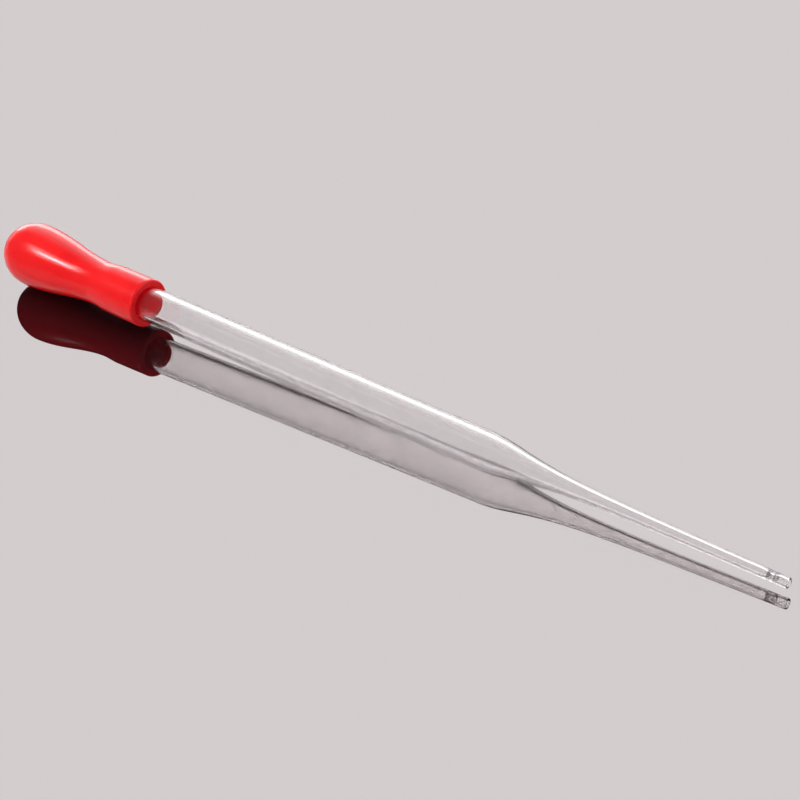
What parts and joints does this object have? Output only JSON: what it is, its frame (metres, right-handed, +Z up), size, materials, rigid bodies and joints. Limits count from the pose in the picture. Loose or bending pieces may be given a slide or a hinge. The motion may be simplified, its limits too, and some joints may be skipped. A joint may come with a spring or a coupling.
{
  "type": "medicine dropper",
  "caption": "Glass medicine dropper lying on its side: tube with a tapered jet, and a rubber bulb that squeezes in and pulls off the tube.",
  "frame": {"origin": "on the surface that the dropper lies on, under the middle of its length", "axes": "+X from the bulb towards the jet, +Z up, +Y to the left of that direction; the tube's axis falls towards the jet by 1.5 degrees because the belly of the bulb is fatter than the tube"},
  "size_m": [0.1808, 0.0132, 0.0132],
  "materials": {
    "glass": "clear drawn glass with melted ends, faintly green in its thickness",
    "red_rubber": "smooth satin moulded red rubber"
  },
  "bodies": {
    "tube": {"glass_tube": "glass"},
    "bulb": {"rubber_bulb": "red_rubber"},
    "wall_left": {"bulb_wall_left": "red_rubber"},
    "wall_right": {"bulb_wall_right": "red_rubber"}
  },
  "joints": [
    {"name": "bulb_pull", "type": "slide", "parent": "tube", "child": "bulb", "axis": [-0.9996, 0, 0.0268], "range_m": [0, 0.02]},
    {"name": "squeeze_left", "type": "slide", "parent": "bulb", "child": "wall_left", "axis": [0, -1, 0], "range_m": [0, 0.0035], "stiffness_N_per_m": 800},
    {"name": "squeeze_right", "type": "slide", "parent": "bulb", "child": "wall_right", "axis": [0, 1, 0], "range_m": [0, 0.0035], "stiffness_N_per_m": 800}
  ],
  "couplings": [
    {"joint": "squeeze_right", "follows": "squeeze_left", "ratio": 1}
  ]
}
